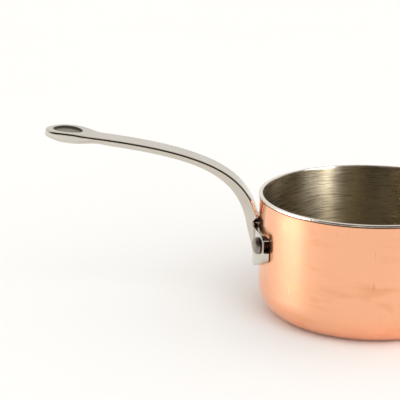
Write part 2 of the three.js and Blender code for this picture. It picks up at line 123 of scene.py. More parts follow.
# Facets
CORNER_STEPS = 16
WALL_ROWS = 26
BASE_ROWS = 20
HOLLOW_STEPS = 6
LIP_STEPS = 8
RIM_STEPS = 5
CUT_SEGMENTS = 240
EYE_SEGMENTS = 96
RIVET_SEGMENTS = 64
BAR_SEGMENTS = 48
DOME_STEPS = 10
WING_STEPS = 12
SAG_STEPS = 24
BAR_RINGS = 220
LINE_STEPS = 120
UPPER_EDGE_STEPS = 8
LOWER_EDGE_STEPS = 6
TOP_ROWS = 6
SIDE_ROWS = 4
TIP_FLAT = 0.1 * MM         # keeps the bar's last ring from closing to a point
PAST_WALL = 10 * MM         # how far a cutter runs past the wall's outer face
MERGE = 1e-6                # closer corners of a mesh are one corner


# ---------------------------------------------------------------- sizes and colours


def length(name, description, default, **more):
    """A property that holds a length."""
    return FloatProperty(
        name=name, description=description, default=default, unit="LENGTH",
        precision=5, min=0.0, **more,
    )


def colour(name, description, default):
    """A property that holds a colour."""
    return FloatVectorProperty(
        name=name, description=description, default=default, subtype="COLOR",
        size=3, min=0.0, max=1.0,
    )


class VesselSizes(bpy.types.PropertyGroup):
    """Sizes of the copper body and its lining."""

    wall: length("Wall", "Copper and lining together", 2.5 * MM)
    copper: length("Copper", "Thickness of the copper", 1.6 * MM)
    lining: length("Lining", "Thickness of the steel lining", 0.6 * MM)
    corner: length("Base corner", "Radius of the outer corner of the base", 21.5 * MM)
    overhang: length("Lip overhang", "How far the lip stands out from the wall", 0.6 * MM)
    lip: length("Lip thickness", "Thickness of the lip's edge", 1.1 * MM)
    rounding: length("Lip rounding", "Radius of the lip's outer edge", 1.0 * MM)
    inner_rounding: length("Rim rounding", "Radius of the rim's inner edge", 0.5 * MM)
    fillet: length("Lip fillet", "Radius of the hollow under the lip", 1.0 * MM)
    segments: IntProperty(
        name="Segments", description="Steps of a full turn", default=240, min=24,
    )


class HandleSizes(bpy.types.PropertyGroup):
    """Sizes of the cast handle."""

    arm_reach: length("Arm reach", "From the wall to the eye's tip", 157.5 * MM)
    arm_rise: length("Arm rise", "Lower rivets to the eye's tip", 78 * MM)
    arm_width: length("Arm width", "Width of the arm", 21 * MM)
    arm_thickness: length("Arm thickness", "Thickness of the arm", 5.6 * MM)
    neck_width: length("Neck width", "Width of the neck", 20.2 * MM)
    neck_depth: length("Neck depth", "Depth of the neck at the wall", 9.7 * MM)
    neck_lean: FloatProperty(
        name="Neck lean", description="How far the neck leans out of upright",
        default=math.radians(9), subtype="ANGLE",
    )
    eye_width: length("Eye width", "Width of the hanging eye", 31 * MM)
    eye_length: length("Eye length", "Length of the hanging eye", 40 * MM)
    eye_depth: length("Eye depth", "Depth of the hanging eye", 9.2 * MM)
    eye_rim: length("Eye rim", "Width of the metal round the eye's hole", 6 * MM)
    ramp_length: length("Ramp length", "Half length of the ramp's hollow", 9 * MM)
    ramp_depth: length("Ramp depth", "Half height of the ramp's hollow", 5.4 * MM)
    eye_slope: FloatProperty(
        name="Eye slope", description="How far the eye rises along its length",
        default=math.radians(6.3), subtype="ANGLE",
    )
    foot_half_width: length("Foot half width", "Half of the foot's width", 35.2 * MM)
    foot_depth: length("Foot depth", "From the wall to the foot's face", 4.8 * MM)
    foot_web: length("Foot web", "Metal left under a rivet's head", 1.3 * MM)
    foot_rise: length("Foot rise", "Lower rivets to the top of a wing", 10.1 * MM)
    foot_drop: length("Foot drop", "Lower rivets to the foot's lowest point", 21.4 * MM)
    foot_tail: length("Foot tail", "How far the rib runs on down the foot", 8.4 * MM)
    foot_corner: length("Foot corner", "Radius of a wing's corners", 7 * MM)
    wing_drop: length("Wing drop", "Lower rivets to where a wing turns in", 7 * MM)
    window_rise: length("Window rise", "Lower rivets to the top of a side window", 5.5 * MM)
    window_drop: length("Window drop", "Lower rivets to its bottom", 2.5 * MM)
    notch_depth: length("Notch depth", "Depth of the notch across the neck", 4.6 * MM)
    edge_rounding: length("Edge rounding", "Radius along the bar's edges", 1.9 * MM)
    grain: length("Skin grid", "Size of a face of the casting's skin", 0.5 * MM)


class RivetSizes(bpy.types.PropertyGroup):
    """Sizes of the rivets and collars."""

    spread: FloatProperty(
        name="Spread", description="Angle from the handle to a lower rivet",
        default=math.radians(17.6), subtype="ANGLE",
    )
    lower_shank: length("Lower shank", "Radius of a lower rivet's shank", 2.5 * MM)
    lower_head: length("Lower head", "Radius of a lower rivet's head", 6.2 * MM)
    lower_height: length("Lower head height", "Height of that head", 3.3 * MM)
    lower_collar: length("Lower collar", "Wall of a lower rivet's collar", 1.4 * MM)
    upper_shank: length("Upper shank", "Radius of the upper rivet's shank", 1.6 * MM)
    upper_head: length("Upper head", "Radius of the upper rivet's head", 4.6 * MM)
    upper_height: length("Upper head height", "Height of that head", 2.2 * MM)
    upper_collar: length("Upper collar", "Wall of the upper rivet's collar", 0.8 * MM)
    inner_height: length("Inner head height", "Height of a head in the pan", 2.2 * MM)
    gap: length("Gap", "Gap between faces that bear on each other", 0.3 * MM)
    clearance: length("Clearance", "Gap round a shank in its hole", 0.3 * MM)


class MetalColours(bpy.types.PropertyGroup):
    """Colours of the metals."""

    copper: colour("Copper", "Polished copper", (0.96, 0.49, 0.295))
    copper_tarnish: colour("Tarnish", "Copper that has dulled", (0.8, 0.32, 0.14))
    lining: colour("Lining", "Brushed steel of the lining", (0.6, 0.53, 0.4))
    # partly painted highlight: the lip is the lining's own steel, polished, and painted lighter
    # than the lining to stand for the light it catches
    lip: colour("Lip", "Polished steel of the lip", (0.82, 0.76, 0.67))
    lining_dark: colour("Lining grooves", "Its darker brush marks", (0.36, 0.31, 0.225))
    casting: colour("Casting", "Polished steel of the handle", (0.63, 0.59, 0.52))
    casting_dark: colour("Casting pits", "Its duller places", (0.52, 0.48, 0.42))
    casting_raw: colour("Casting as cast", "Wall of the eye's hole", (0.3, 0.28, 0.235))
    # painted shade: the dark outline along the top of the eye's hole's wall, painted as a colour
    hole_rim_shade: colour("Grime", "What gathers under the edge of the eye's hole", (0.05, 0.045, 0.035))
    rivet: colour("Rivet", "Satin steel of the rivets", (0.42, 0.37, 0.32))
    collar: colour("Collar", "Dark steel of the collars", (0.2, 0.165, 0.14))
    # painted shade: the dark line of shade in the hollow under the lip, painted into the copper's
    # colour
    seam: colour("Seam", "The line where the lip meets the copper", (0.09, 0.045, 0.025))


class StudioSettings(bpy.types.PropertyGroup):
    """The camera, the floor and the lights."""

    camera_distance: length("Camera distance", "Level distance to the pan's axis", 1.0401)
    camera_height: length("Camera height", "Height over the floor", 0.38336)
    camera_azimuth: FloatProperty(
        name="Camera azimuth", description="Where the camera stands round the pan",
        default=math.radians(-95), subtype="ANGLE",
    )
    camera_pitch: FloatProperty(
        name="Camera pitch", description="How far the camera looks down",
        default=math.radians(16.11), subtype="ANGLE",
    )
    camera_heading: FloatProperty(
        name="Camera heading", description="Turn to the left of the Y axis",
        default=math.radians(1.98), subtype="ANGLE",
    )
    lens: FloatProperty(
        name="Lens", description="Focal length on a sensor 36 mm wide", default=131.05,
    )
    floor: colour("Floor", "The pale floor", (0.9, 0.9, 0.895))


GROUPS = {
    "pan_vessel": VesselSizes,
    "pan_handle": HandleSizes,
    "pan_rivets": RivetSizes,
    "pan_colours": MetalColours,
    "pan_studio": StudioSettings,
}


# ---------------------------------------------------------------- shader writing


class Flow:
    """A socket of a node tree that arithmetic can be written on."""

    def __init__(self, tree, socket):
        self.tree = tree
        self.socket = socket

    def math(self, operation, *values, clamp=False):
        """A Math node on this value and others."""
        node = self.tree.nodes.new("ShaderNodeMath")
        node.operation = operation
        node.use_clamp = clamp
        for socket, value in zip(node.inputs, (self, *values)):
            plug(self.tree, socket, value)
        return Flow(self.tree, node.outputs[0])

    def __add__(self, other):
        return self.math("ADD", other)

    __radd__ = __add__

    def __sub__(self, other):
        return self.math("SUBTRACT", other)

    def __rsub__(self, other):
        return self.math("MULTIPLY", -1.0).math("ADD", other)

    def __mul__(self, other):
        return self.math("MULTIPLY", other)

    __rmul__ = __mul__

    def __truediv__(self, other):
        return self.math("DIVIDE", other)

    def __pow__(self, other):
        return self.math("POWER", other)


def plug(tree, socket, value):
    """Sets a socket to a value, or links a flow to it."""
    if isinstance(value, Flow):
        tree.links.new(value.socket, socket)
    else:
        socket.default_value = value


class Finish:
    """A material, and the one way that its nodes are made."""

    def __init__(self, name):
        self.material = bpy.data.materials.new(name)
        self.material.use_nodes = True
        self.tree = self.material.node_tree
        self.tree.nodes.clear()
        self.place = self.node("ShaderNodeTexCoord", output="Object")

    def node(self, kind, output=0, stops=None, inputs=None, **settings):
        """Makes a node, with its settings first and then its inputs."""
        node = self.tree.nodes.new(kind)
        for key, value in settings.items():
            setattr(node, key, value)
        if stops:
            ramp = node.color_ramp
            while len(ramp.elements) < len(stops):
                ramp.elements.new(0.5)
            for element, (position, tone) in zip(ramp.elements, stops):
                element.position = position
                element.color = tone
        for key, value in (inputs or {}).items():
            plug(self.tree, node.inputs[key], value)
        return Flow(self.tree, node.outputs[output])

    def stretched(self, scale, rotation=(0, 0, 0)):
        """Object coordinates, scaled by axis."""
        return self.node(
            "ShaderNodeMapping",
            inputs={"Vector": self.place, "Scale": scale, "Rotation": rotation},
        )

    def noise(self, vector, scale, detail=3.0, roughness=0.5, distortion=0.0):
        """Noise between 0 and 1."""
        return self.node(
            "ShaderNodeTexNoise", output="Fac",
            inputs={
                "Vector": vector, "Scale": scale, "Detail": detail,
                "Roughness": roughness, "Distortion": distortion,
            },
        )

    def band(self, value, low, high):
        """0 below low, 1 above high, and smooth between."""
        return self.node(
            "ShaderNodeMapRange", interpolation_type="SMOOTHSTEP",
            inputs={"Value": value, "From Min": low, "From Max": high},
        )

    def place_parts(self):
        """The X, Y and Z of Object coordinates."""
        node = self.tree.nodes.new("ShaderNodeSeparateXYZ")
        self.tree.links.new(self.place.socket, node.inputs[0])
        return [Flow(self.tree, socket) for socket in node.outputs]

    def mixed(self, amount, first, second):
        """A colour between two colours."""
        node = self.tree.nodes.new("ShaderNodeMix")
        node.data_type = "RGBA"
        plug(self.tree, node.inputs[0], amount)
        plug(self.tree, node.inputs[6], first)
        plug(self.tree, node.inputs[7], second)
        return Flow(self.tree, node.outputs[2])

    def metal(self, base, roughness, heights=(), **fixed):
        """Ends the material with a metal shader; heights are (value, distance) bumps."""
        normal = None
        for value, distance in heights:
            inputs = {"Height": value, "Distance": distance, "Strength": 1.0}
            if normal:
                inputs["Normal"] = normal
            normal = self.node("ShaderNodeBump", output="Normal", inputs=inputs)
        inputs = {"Base Color": base, "Roughness": roughness, "Metallic": 1.0}
        inputs.update({key.replace("_", " ").title(): value for key, value in fixed.items()})
        if normal:
            inputs["Normal"] = normal
        shader = self.node("ShaderNodeBsdfPrincipled", output="BSDF", inputs=inputs)
        self.end(shader)
        return self.material

    def end(self, shader):
        """Joins a shader to the material's output."""
        output = self.tree.nodes.new("ShaderNodeOutputMaterial")
        self.tree.links.new(shader.socket, output.inputs["Surface"])


def opaque(tone):
    """A colour with its alpha."""
    return (*tone, 1.0)


def copper_finish(colours):
    """Polished copper: fine turning marks, a few hairline scratches and dull smudges, with a band
    of painted shade under the lip.
    """
    finish = Finish("polished_copper")
    height = finish.place_parts()[2]
    smudge = finish.noise(finish.stretched((1.0, 1.0, 3.2)), 30.0, detail=6.0, distortion=0.6)
    smudge = finish.band(smudge, 0.5, 0.74)
    marks = finish.noise(finish.stretched((6.0, 6.0, 1600.0)), 1.0, detail=4.0, roughness=0.6)
    scratches = finish.noise(
        finish.stretched((900.0, 900.0, 60.0), (0.5, 0.3, 0.0)), 1.0, detail=2.0,
    )
    scratches = finish.band(scratches, 0.66, 0.71) * finish.band(
        finish.noise(finish.place, 40.0, detail=1.0), 0.5, 0.6,
    )
    base = finish.mixed(
        smudge * 0.35 + marks * 0.1 + scratches * 0.5,
        opaque(colours.copper), opaque(colours.copper_tarnish),
    )
    # painted shade: a dark band just under the lip, where its shadow falls on the copper
    seam = finish.band(height, *(COPPER_HIGH.z - drop for drop in LIP_SHADE_BAND))
    base = finish.mixed(seam, base, opaque(colours.seam))
    roughness = smudge * 0.04 + marks * 0.08 + scratches * 0.15 + seam * 0.4 + 0.17
    return finish.metal(
        base, roughness,
        heights=((marks, 0.000012), (scratches, -0.00001)),
        anisotropic=0.6, anisotropic_rotation=0.25,
    )


def lining_finish(colours):
    """Steel brushed in circles round the pan, with a polished lip painted lighter, in part a
    painted highlight.
    """
    finish = Finish("brushed_lining")
    x, y, height = finish.place_parts()
    radius = (x * x + y * y) ** 0.5
    around = finish.node(
        "ShaderNodeCombineXYZ",
        inputs={"X": x * 60.0, "Y": y * 60.0, "Z": (height + radius) * 2000.0},
    )
    brush = finish.noise(around, 1.0, detail=5.0, roughness=0.6)
    cloud = finish.noise(finish.place, 30.0, detail=3.0)
    streak = finish.band(brush, 0.3, 0.75)
    base = finish.mixed(
        streak * 0.7 + cloud * 0.25, opaque(colours.lining_dark), opaque(colours.lining),
    )
    # partly painted highlight: the polished lip gets a lighter colour that stands for the light
    # along its edge
    lip_polish_and_highlight = finish.band(height, *(LINING_HIGH.z - drop for drop in LIP_POLISH_AND_HIGHLIGHT_BAND))
    base = finish.mixed(lip_polish_and_highlight, base, opaque(colours.lip))
    roughness = streak * 0.1 + cloud * 0.06 + 0.22 - lip_polish_and_highlight * 0.04
    return finish.metal(
        base, roughness, heights=((brush, 0.00004),),
        anisotropic=0.75, anisotropic_rotation=0.25,
    )


def casting_finish(colours):
    """Polished cast steel with faint polishing marks and pits, left raw in the eye's hole, with
    painted shade along the top of the hole's wall.
    """
    finish = Finish("polished_casting")
    cloud = finish.noise(finish.place, 45.0, detail=4.0)
    lines = finish.noise(finish.stretched((25.0, 700.0, 700.0)), 1.0, detail=3.0)
    pits = finish.band(finish.noise(finish.place, 900.0, detail=2.0), 0.66, 0.8)
    sizes = bpy.context.scene.pan_handle
    hole = EyeHole(sizes)
    x, y, z = finish.place_parts()
    along = x - hole.centre.x
    above = z - hole.centre.z + along * math.tan(sizes.eye_slope)
    widening = above * hole.growth + (1 - hole.growth * sizes.eye_depth / 2)
    along = along / (widening * hole.half_length)
    across = y / (widening * hole.half_across)
    in_hole = 1 - finish.band(along * along + across * across, *HOLE_EDGE)
    base = finish.mixed(
        finish.band(cloud, 0.35, 0.8) * 0.5 + pits * 0.4,
        opaque(colours.casting), opaque(colours.casting_dark),
    )
    # painted shade: the raw wall of the hole turns near black towards its top, where shade falls
    # under the rim
    raw = finish.mixed(
        finish.band(above, *(rise * sizes.eye_depth for rise in HOLE_RIM_SHADE_BAND)),
        opaque(colours.casting_raw), opaque(colours.hole_rim_shade),
    )
    base = finish.mixed(in_hole, base, raw)
    roughness = cloud * 0.1 + lines * 0.06 + pits * 0.1 + in_hole * 0.4 + 0.09
    return finish.metal(
        base, roughness,
        heights=((cloud, 0.0002), (lines, 0.000015), (pits, -0.00002)),
        metallic=1 - in_hole * 0.8,
    )


def satin_finish(name, tone, dull, wear_scale):
    """Satin steel with worn, brighter high places."""
    finish = Finish(name)
    cloud = finish.noise(finish.place, wear_scale, detail=4.0)
    grain = finish.noise(finish.place, 2600.0, detail=2.0)
    dark = tuple(channel * 0.62 for channel in tone)
    base = finish.mixed(finish.band(cloud, 0.35, 0.7), opaque(dark), opaque(tone))
    roughness = cloud * 0.16 + grain * 0.08 + dull
    return finish.metal(base, roughness, heights=((cloud, 0.0001), (grain, 0.00002)))


# ---------------------------------------------------------------- mesh making


def placed(name, bm, finish, sharp=math.radians(35)):
    """Turns a bmesh into a smooth-shaded object at the origin."""
    for face in bm.faces:
        face.smooth = True
    mesh = bpy.data.meshes.new(name)
    bm.to_mesh(mesh)
    bm.free()
    mesh.set_sharp_from_angle(angle=sharp)
    piece = bpy.data.objects.new(name, mesh)
    bpy.context.scene.collection.objects.link(piece)
    if finish:
        mesh.materials.append(finish)
    return piece


def adopted(piece, node):
    """Rides on the body and stands for a node, whose part it hides."""
    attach(piece, ROOT)
    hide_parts(node)


def settled(piece):
    """Applies a piece's modifiers to its mesh."""
    bpy.context.view_layer.update()
    graph = bpy.context.evaluated_depsgraph_get()
    mesh = bpy.data.meshes.new_from_object(piece.evaluated_get(graph))
    old = piece.data
    piece.modifiers.clear()
    piece.data = mesh
    bpy.data.meshes.remove(old)
    return piece


def combined(piece, others, operation):
    """Adds, cuts or intersects other pieces, which are used up."""
    for other in others:
        change = piece.modifiers.new("combine", "BOOLEAN")
        change.operation = operation
        change.solver = "EXACT"
        change.object = other
    settled(piece)
    for other in others:
        bpy.data.objects.remove(other)
    return piece


def arc(centre, radius, start, end, steps):
    """Points of an arc in a profile. Angles are in degrees."""
    angles = (math.radians(start + (end - start) * i / steps) for i in range(steps + 1))
    return [(centre[0] + radius * math.cos(a), centre[1] + radius * math.sin(a)) for a in angles]


def spaced(start, end, steps):
    """Points of a straight stretch of a profile, without its two ends."""
    return [
        (start[0] + (end[0] - start[0]) * i / steps, start[1] + (end[1] - start[1]) * i / steps)
        for i in range(1, steps)
    ]


def turned(profile, segments, closed=False):
    """Spins a half section of (radius, height) points about the Z axis."""
    bm = bmesh.new()
    points = [bm.verts.new((radius, 0, height)) for radius, height in profile]
    pairs = list(zip(points, points[1:]))
    if closed:
        pairs.append((points[-1], points[0]))
    edges = [bm.edges.new(pair) for pair in pairs]
    bmesh.ops.spin(
        bm, geom=points + edges, cent=(0, 0, 0), axis=(0, 0, 1), dvec=(0, 0, 0),
        angle=2 * math.pi, steps=segments, use_merge=True, use_duplicate=False,
    )
    bmesh.ops.remove_doubles(bm, verts=bm.verts, dist=MERGE)
    bmesh.ops.recalc_face_normals(bm, faces=bm.faces)
    return bm


def round_bar(radius, start, end, segments=BAR_SEGMENTS):
    """A cylinder about the Z axis."""
    return turned([(0, start), (radius, start), (radius, end), (0, end)], segments)


def laid_radially(bm, angle, height):
    """Turns a shape made along Z to point out of the pan at an angle from -X."""
    bmesh.ops.transform(
        bm, verts=bm.verts,
        matrix=Matrix.Translation((0, 0, height))
        @ Matrix.Rotation(angle, 4, "Z")
        @ Matrix.Rotation(-math.pi / 2, 4, "Y"),
    )
    return bm


def block(low, high):
    """A box between two corners."""
    bm = bmesh.new()
    bmesh.ops.create_cube(bm, size=1.0)
    low, high = Vector(low), Vector(high)
    bmesh.ops.scale(bm, verts=bm.verts, vec=high - low)
    bmesh.ops.translate(bm, verts=bm.verts, vec=(low + high) / 2)
    return bm


# ---------------------------------------------------------------- rivets' places


class Rivet:
    """One rivet: where it is and how big it is."""

    def __init__(self, name):
        sizes = bpy.context.scene.pan_rivets
        handle = bpy.context.scene.pan_handle
        upper = name == "upper"
        kind = "upper" if upper else "lower"
        self.name = name
        self.angle = {"upper": 0, "lower_near": 1, "lower_far": -1}[name] * sizes.spread
        self.height = middle_height(f"rivet_{name}")
        self.shank = getattr(sizes, f"{kind}_shank")
        self.head = getattr(sizes, f"{kind}_head")
        self.head_height = getattr(sizes, f"{kind}_height")
        self.collar = self.shank + sizes.clearance + getattr(sizes, f"{kind}_collar")
        wall = wall_radius()
        self.floor = wall + (handle.notch_depth if upper else handle.foot_depth - handle.foot_web)
        self.seat = self.floor + handle.foot_web
        self.sizes = sizes

    def hole(self):
        """A cutter for the shank's hole."""
        wall = wall_radius()
        reach = 20 * MM
        bar = round_bar(self.shank + self.sizes.clearance, wall - reach, wall + reach)
        return placed("hole_cutter", laid_radially(bar, self.angle, self.height), None)


def wall_radius():
    """Radius of the wall's outer face."""
    return LINING_HIGH.x - bpy.context.scene.pan_vessel.overhang


# ---------------------------------------------------------------- vessel


def pan_profile(outer, inner, floor, thickness, top):
    """Half of a pan's section, from the axis outside its base round to the axis inside."""
    sizes = bpy.context.scene.pan_vessel
    corner = sizes.corner - (wall_radius() - outer)
    centre = (outer - corner, floor + corner)
    outer_arc = arc(centre, corner, -90, 0, CORNER_STEPS)
    inner_arc = arc(centre, corner - thickness, 0, -90, CORNER_STEPS)
    return [
        (0, floor),
        *spaced((0, floor), outer_arc[0], BASE_ROWS),
        *outer_arc,
        *spaced(outer_arc[-1], top[0], WALL_ROWS),
        *top,
        *spaced(top[-1], inner_arc[0], WALL_ROWS),
        *inner_arc,
        *spaced(inner_arc[-1], (0, floor + thickness), BASE_ROWS),
        (0, floor + thickness),
    ]


def copper_body(finish):
    """The copper shell, with a small hollow under the lip."""
    sizes = bpy.context.scene.pan_vessel
    wall = wall_radius()
    top = COPPER_HIGH.z
    inner = wall - sizes.copper
    flare = COPPER_HIGH.x - wall
    fillet = sizes.fillet
    hollow = arc((wall + fillet, top - flare - fillet), fillet, *HOLLOW_ENDS, HOLLOW_STEPS)
    edge = [(wall + flare, top - flare / 2), (wall + flare, top)]
    profile = pan_profile(wall, inner, COPPER_LOW.z, sizes.copper, [*hollow, *edge, (inner, top)])
    bm = turned(profile, sizes.segments)
    return placed("CopperBody", bm, finish)


def steel_lining(finish):
    """The steel lining, turned outward over the copper's edge to make the lip."""
    sizes = bpy.context.scene.pan_vessel
    lip = LINING_HIGH.x
    high = LINING_HIGH.z
    under = high - sizes.lip
    inner = wall_radius() - sizes.wall
    outer = inner + sizes.lining
    rounding, inside = sizes.rounding, sizes.inner_rounding
    top = [
        (outer, under),
        (lip, under),
        *arc((lip - rounding, high - rounding), rounding, 0, 90, LIP_STEPS),
        *arc((inner + inside, high - inside), inside, 90, 180, RIM_STEPS),
    ]
    profile = pan_profile(outer, inner, LINING_LOW.z, sizes.lining, top)
    return placed("SteelLining", turned(profile, sizes.segments), finish)


# ---------------------------------------------------------------- handle


def smoothstep(value, low, high):
    """0 below low, 1 above high, and smooth between."""
    share = min(1.0, max(0.0, (value - low) / (high - low)))
    return share * share * (3 - 2 * share)


def eased(value, stretch, unit):
    """0 before a stretch and 1 after it, where the stretch is given in a unit of length."""
    return smoothstep(value, stretch[0] * unit, stretch[1] * unit)


def mix(first, second, share):
    """A value between two values."""
    return first + (second - first) * share


def bezier(points, share):
    """A point of a Bezier curve of any order."""
    while len(points) > 1:
        points = [a.lerp(b, share) for a, b in zip(points, points[1:])]
    return points[0]


def step_along(point, angle, distance):
    """Moves a point of the handle's middle plane at an angle over the level."""
    return point + Vector((-math.cos(angle), 0, math.sin(angle))) * distance


def eye_tip(sizes):
    """The end of the handle's centre line."""
    return Vector((-(wall_radius() + sizes.arm_reach), 0, RIVET_LINE + sizes.arm_rise))


class CentreLine:
    """The handle's centre line: up the foot, round the neck, along the arm, through the eye."""

    def __init__(self, sizes):
        wall = wall_radius()
        steep = math.pi / 2 - sizes.neck_lean
        base = Vector((
            -(wall + NECK_ROOT_DEPTH * sizes.foot_depth), 0,
            RIVET_LINE + NECK_ROOT_RISE * sizes.foot_rise,
        ))
        foot = step_along(base, steep, -rib_length(sizes))
        tip = eye_tip(sizes)
        back = EYE_MIDDLE * sizes.eye_length
        eye = tip + Vector((back, 0, -back * math.tan(EYE_RISE * sizes.eye_slope)))
        neck = step_along(base, steep, NECK_HOLD * sizes.arm_rise)
        arm = step_along(eye, sizes.eye_slope, -ARM_HOLD * (sizes.arm_reach - back))
        bend = step_along(eye, sizes.eye_slope, EYE_HOLD * sizes.eye_length)
        self.points = []
        for curve in ([foot, base], [base, neck, arm, eye], [eye, bend, tip]):
            first = 1 if self.points else 0
            self.points += [bezier(curve, i / LINE_STEPS) for i in range(first, LINE_STEPS + 1)]
        self.distances = [0.0]
        for a, b in zip(self.points, self.points[1:]):
            self.distances.append(self.distances[-1] + (b - a).length)
        self.length = self.distances[-1]

    def at(self, distance):
        """The point at a distance from the foot's end, and the direction there."""
        i = min(max(bisect.bisect(self.distances, distance), 1), len(self.points) - 1)
        before, after = self.distances[i - 1], self.distances[i]
        share = (distance - before) / (after - before)
        a, b = self.points[i - 1], self.points[i]
        low, high = self.points[max(i - 2, 0)], self.points[min(i + 1, len(self.points) - 1)]
        return a.lerp(b, share), (high - low).normalized()


def rib_length(sizes):
    """Length of the rib that carries the neck down the foot."""
    return sizes.foot_rise + sizes.foot_tail


def half_width(sizes, from_tip, from_foot):
    """Half of the handle's width at a place on its centre line."""
    round_end = EYE_ROUND * sizes.eye_length
    eye_half = sizes.eye_width / 2
    if from_tip < round_end:
        left = 1 - min(1.0, (from_tip + TIP_FLAT) / round_end)
        return eye_half * math.sqrt(1 - left * left)
    to_arm = eased(from_tip, EYE_FLARE, sizes.eye_length)
    to_neck = 1 - eased(from_foot, NECK_FLARE, sizes.neck_width)
    to_foot = 1 - eased(from_foot, RIB_FLARE, sizes.neck_width)
    arm = mix(sizes.arm_width / 2, sizes.neck_width / 2, to_neck)
    return mix(eye_half, mix(arm, RIB_WIDTH * sizes.neck_width, to_foot), to_arm)


def thickness(sizes, from_tip, from_foot):
    """The handle's thickness at the same place."""
    rib = rib_length(sizes)
    to_eye = 1 - eased(from_tip, EYE_SWELL, sizes.eye_length)
    taper = eased(from_tip, TIP_TAPER, sizes.eye_length)
    eye = mix(TIP_THINNESS * sizes.eye_depth, sizes.eye_depth, taper)
    to_neck = 1 - eased(from_foot, NECK_SWELL, rib)
    to_foot = 1 - eased(from_foot, RIB_SWELL, rib)
    neck = mix(sizes.arm_thickness, sizes.neck_depth, to_neck)
    return mix(mix(neck, RIB_DEPTH * sizes.foot_depth, to_foot), eye, to_eye)


def bar_section(half, height, taper, rounding):
    """The bar's section as a loop of (across, up) points, narrower below than above."""
    edge = min(rounding, ROUNDING_LIMIT * height, WIDTH_LIMIT * half)
    low = half * (1 - taper)
    under = min(edge, WIDTH_LIMIT * low)
    top, bottom = height / 2, -height / 2
    above = arc((half - edge, top - edge), edge, 90, 0, UPPER_EDGE_STEPS)
    below = arc((low - under, bottom + under), under, 0, -90, LOWER_EDGE_STEPS)
    right = [
        (0, top),
        *spaced((0, top), above[0], TOP_ROWS),
        *above,
        *spaced(above[-1], below[0], SIDE_ROWS),
        *below,
        *spaced(below[-1], (0, bottom), SIDE_ROWS),
        (0, bottom),
    ]
    return right + [(-across, up) for across, up in reversed(right[1:-1])]


def handle_bar(sizes):
    """The foot's rib, the neck, the arm and the eye as one bar swept along the centre line."""
    line = CentreLine(sizes)
    sides = len(bar_section(1, 1, 0, 0))
    sections = {}
    bm = bmesh.new()
    bmesh.ops.create_grid(bm, x_segments=BAR_RINGS, y_segments=sides, size=0.5)
    for vertex in bm.verts:
        distance = line.length * math.sin((vertex.co.x + 0.5) * math.pi / 2)
        centre, direction = line.at(distance)
        upward = Vector((direction.z, 0, -direction.x))
        if distance not in sections:
            from_tip = line.length - distance
            in_eye = 1 - eased(from_tip, EYE_TAPERING, sizes.eye_length)
            sections[distance] = bar_section(
                half_width(sizes, from_tip, distance), thickness(sizes, from_tip, distance),
                mix(ARM_TAPER, EYE_TAPER, in_eye), sizes.edge_rounding,
            )
        across, up = sections[distance][round((vertex.co.y + 0.5) * sides) % sides]
        vertex.co = centre + upward * up + Vector((0, across, 0))
    bmesh.ops.remove_doubles(bm, verts=bm.verts, dist=MERGE)
    bmesh.ops.holes_fill(bm, edges=[edge for edge in bm.edges if edge.is_boundary], sides=0)
    bmesh.ops.recalc_face_normals(bm, faces=bm.faces)
    return placed("CastHandle", bm, None)


def quadratic(points, steps):
    """Points of a quadratic curve in the plane, without its first one."""
    corners = [Vector(point) for point in points]
    return [bezier(corners, i / steps) for i in range(1, steps + 1)]


def foot_outline(sizes):
    """Half of the foot's outline from the front, as (across, height), top to bottom."""
    wing = sizes.foot_half_width
    top = RIVET_LINE + sizes.foot_rise
    bottom = RIVET_LINE - sizes.foot_drop
    corner = sizes.foot_corner
    low = RIVET_LINE - sizes.wing_drop
    turn = (wing - corner, low - WING_TURN_END * corner)
    return [
        Vector((0, top)),
        Vector((wing - corner, top)),
        *quadratic([(wing - corner, top), (wing, top), (wing, top - corner)], WING_STEPS),
        Vector((wing, low)),
        *quadratic([(wing, low), (wing, low - WING_TURN_DROP * corner), turn], WING_STEPS),
        *quadratic([turn, (wing / FOOT_SAG, bottom), (0, bottom)], SAG_STEPS),
    ]


def foot_plate(sizes):
    """The curved plate that lies along the wall."""
    half = foot_outline(sizes)
    outer = wall_radius() + sizes.foot_depth
    reach = 15 * MM
    bm = bmesh.new()
    points = half + [Vector((-p.x, p.y)) for p in reversed(half[1:-1])]
    verts = [bm.verts.new((-(outer + reach), p.x, p.y)) for p in points]
    face = bm.faces.new(verts)
    made = bmesh.ops.extrude_face_region(bm, geom=[face])["geom"]
    moved = [item for item in made if isinstance(item, bmesh.types.BMVert)]
    bmesh.ops.translate(bm, verts=moved, vec=(outer, 0, 0))
    bmesh.ops.recalc_face_normals(bm, faces=bm.faces)
    slab = placed("FootPlate", bm, None)
    low = RIVET_LINE - 2 * sizes.foot_drop
    high = RIVET_LINE + 2 * sizes.foot_drop
    inner = outer - 2 * sizes.foot_depth
    section = [(inner, low), (outer, low), (outer, high), (inner, high)]
    ring = turned(section, CUT_SEGMENTS, closed=True)
    return combined(slab, [placed("FootRing", ring, None)], "INTERSECT")


def collar_pocket(rivet, sizes):
    """Cutters for a collar's pocket and for the window that opens the wing's end."""
    gap = bpy.context.scene.pan_rivets.gap
    start = wall_radius() - PAST_WALL
    floor = rivet.floor
    pocket = round_bar(rivet.collar + POCKET_ROOM * gap, start, floor)
    across = (0, sizes.foot_half_width) if rivet.angle > 0 else (-sizes.foot_half_width, 0)
    window = block((0, across[0], -sizes.window_drop), (floor, across[1], sizes.window_rise))
    bmesh.ops.transform(
        window, verts=window.verts,
        matrix=Matrix.Translation((0, 0, rivet.height))
        @ Matrix.Rotation(math.pi + rivet.angle, 4, "Z"),
    )
    return [
        placed("pocket_cutter", laid_radially(pocket, rivet.angle, rivet.height), None),
        placed("window_cutter", window, None),
    ]


